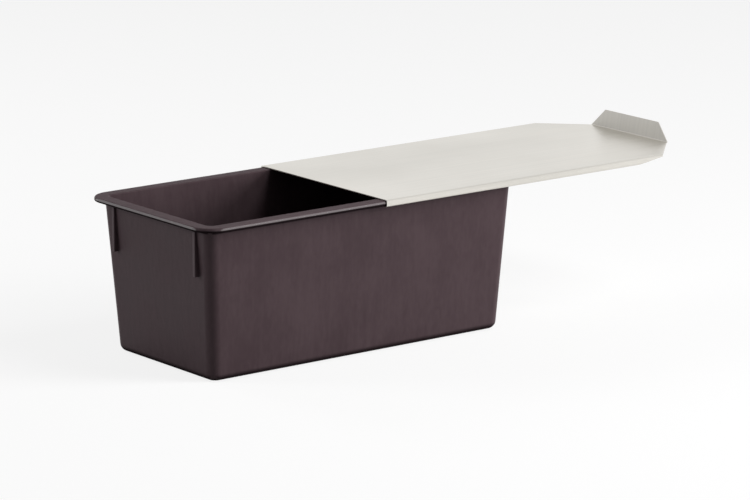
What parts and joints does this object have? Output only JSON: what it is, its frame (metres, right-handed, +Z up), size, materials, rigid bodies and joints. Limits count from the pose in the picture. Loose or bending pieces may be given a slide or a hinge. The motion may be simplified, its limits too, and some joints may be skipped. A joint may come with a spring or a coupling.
{
  "type": "pullman loaf pan",
  "caption": "Deep drafted loaf pan with a flat flanged rim and stacking ribs, and a folded sheet lid that slides along the rim to close it.",
  "frame": {"origin": "middle of the pan's flat underside, on the surface it stands on", "axes": "+X along the loaf, the way the lid is pulled off; +Y across the pan; +Z up out of the mouth"},
  "size_m": [0.4699, 0.1572, 0.1328],
  "materials": {
    "moulded_composite": "satin, dark brown-grey glass-filled composite",
    "stainless_sheet": "fine brushed stainless sheet"
  },
  "bodies": {
    "pan": {"pan": "moulded_composite"},
    "lid": {"sliding_lid": "stainless_sheet"}
  },
  "joints": [
    {"name": "lid_slide", "type": "slide", "parent": "pan", "child": "lid", "axis": [1, 0, 0], "range_m": [-0.165, 0.145]}
  ]
}
